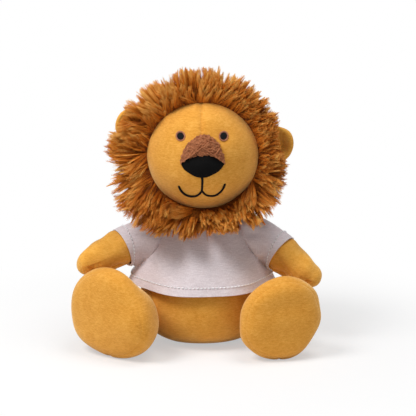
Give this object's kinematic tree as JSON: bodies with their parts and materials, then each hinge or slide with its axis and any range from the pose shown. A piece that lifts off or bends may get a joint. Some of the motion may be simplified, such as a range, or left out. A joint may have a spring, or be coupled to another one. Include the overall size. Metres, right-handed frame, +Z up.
{
  "type": "plush lion",
  "caption": "Seated stuffed lion with a round fur mane, an embroidered face, soft limbs and tail, and a white T-shirt.",
  "frame": {"origin": "centre of the flat patch under the body that the lion sits on", "axes": "+Z up, the face looks along -Y, the lion's own left is +X"},
  "size_m": [0.1614, 0.1336, 0.1775],
  "materials": {
    "amber_plush": "short velour pile",
    "mane_fur": "long shaggy pile in locks",
    "brown_fleece": "curly short fleece",
    "black_thread": "satin stitch embroidery",
    "pale_thread": "satin stitch embroidery",
    "white_jersey": "plain fine jersey knit",
    "fibre_filling": "loose polyester fibre",
    "bag_cloth": "plain woven cotton"
  },
  "bodies": {
    "torso": {"body_front_panel": "amber_plush", "body_back_panel": "amber_plush", "body_stuffing": "fibre_filling", "pellet_bag": "bag_cloth", "shirt_front": "white_jersey", "shirt_back": "white_jersey", "shirt_neckband": "white_jersey"},
    "neck": {"neck_stuffing": "fibre_filling"},
    "head": {"face_panel": "amber_plush", "head_back_panel": "mane_fur", "head_stuffing": "fibre_filling", "mane": "mane_fur", "nose": "black_thread", "nose_bridge": "brown_fleece", "mouth_stitching": "black_thread", "eye_left": "black_thread", "eye_rim_left": "pale_thread", "eye_right": "black_thread", "eye_rim_right": "pale_thread"},
    "tail": {"tail": "amber_plush", "tail_tuft": "mane_fur"},
    "arm_left": {"arm_left_skin": "amber_plush", "arm_left_stuffing": "fibre_filling", "sleeve_left": "white_jersey"},
    "leg_left": {"leg_left_skin": "amber_plush", "leg_left_sole": "amber_plush", "leg_left_stuffing": "fibre_filling"},
    "ear_left": {"ear_left_front": "amber_plush", "ear_left_back": "amber_plush"},
    "arm_right": {"arm_right_skin": "amber_plush", "arm_right_stuffing": "fibre_filling", "sleeve_right": "white_jersey"},
    "leg_right": {"leg_right_skin": "amber_plush", "leg_right_sole": "amber_plush", "leg_right_stuffing": "fibre_filling"},
    "ear_right": {"ear_right_front": "amber_plush", "ear_right_back": "amber_plush"}
  },
  "joints": [
    {"name": "head_turn", "type": "hinge", "parent": "torso", "child": "neck", "pos_m": [0, -0.003, 0.0855], "axis": [0, 0, 1], "range_deg": [-15, 15], "stiffness_Nm_per_rad": 0.25},
    {"name": "head_nod", "type": "hinge", "parent": "neck", "child": "head", "pos_m": [0, -0.003, 0.0855], "axis": [1, 0, 0], "range_deg": [-8, 8], "stiffness_Nm_per_rad": 0.6},
    {"name": "arm_left_lift", "type": "hinge", "parent": "torso", "child": "arm_left", "pos_m": [0.0368, -0.002, 0.0682], "axis": [-0.515, -0.8572, 0], "range_deg": [0, 45], "stiffness_Nm_per_rad": 0.06},
    {"name": "arm_right_lift", "type": "hinge", "parent": "torso", "child": "arm_right", "pos_m": [-0.0368, -0.002, 0.0682], "axis": [-0.4695, 0.8829, 0], "range_deg": [-12, 32], "stiffness_Nm_per_rad": 0.06},
    {"name": "leg_left_splay", "type": "hinge", "parent": "torso", "child": "leg_left", "pos_m": [0.04, -0.0225, 0.022], "axis": [0, 0, 1], "range_deg": [-4, 20], "stiffness_Nm_per_rad": 0.15},
    {"name": "leg_right_splay", "type": "hinge", "parent": "torso", "child": "leg_right", "pos_m": [-0.04, -0.0225, 0.022], "axis": [0, 0, -1], "range_deg": [-16, 8], "stiffness_Nm_per_rad": 0.15},
    {"name": "ear_left_flick", "type": "hinge", "parent": "head", "child": "ear_left", "pos_m": [0.03729, 0.005, 0.12825], "axis": [0, 0, 1], "range_deg": [-6, 18], "stiffness_Nm_per_rad": 0.01},
    {"name": "ear_right_flick", "type": "hinge", "parent": "head", "child": "ear_right", "pos_m": [-0.03249, 0.005, 0.1425], "axis": [0, 0, -1], "range_deg": [-6, 18], "stiffness_Nm_per_rad": 0.01},
    {"name": "tail_swing", "type": "hinge", "parent": "torso", "child": "tail", "pos_m": [0, 0.0345, 0.0125], "axis": [0, 0, 1], "range_deg": [-20, 25], "stiffness_Nm_per_rad": 0.03}
  ]
}
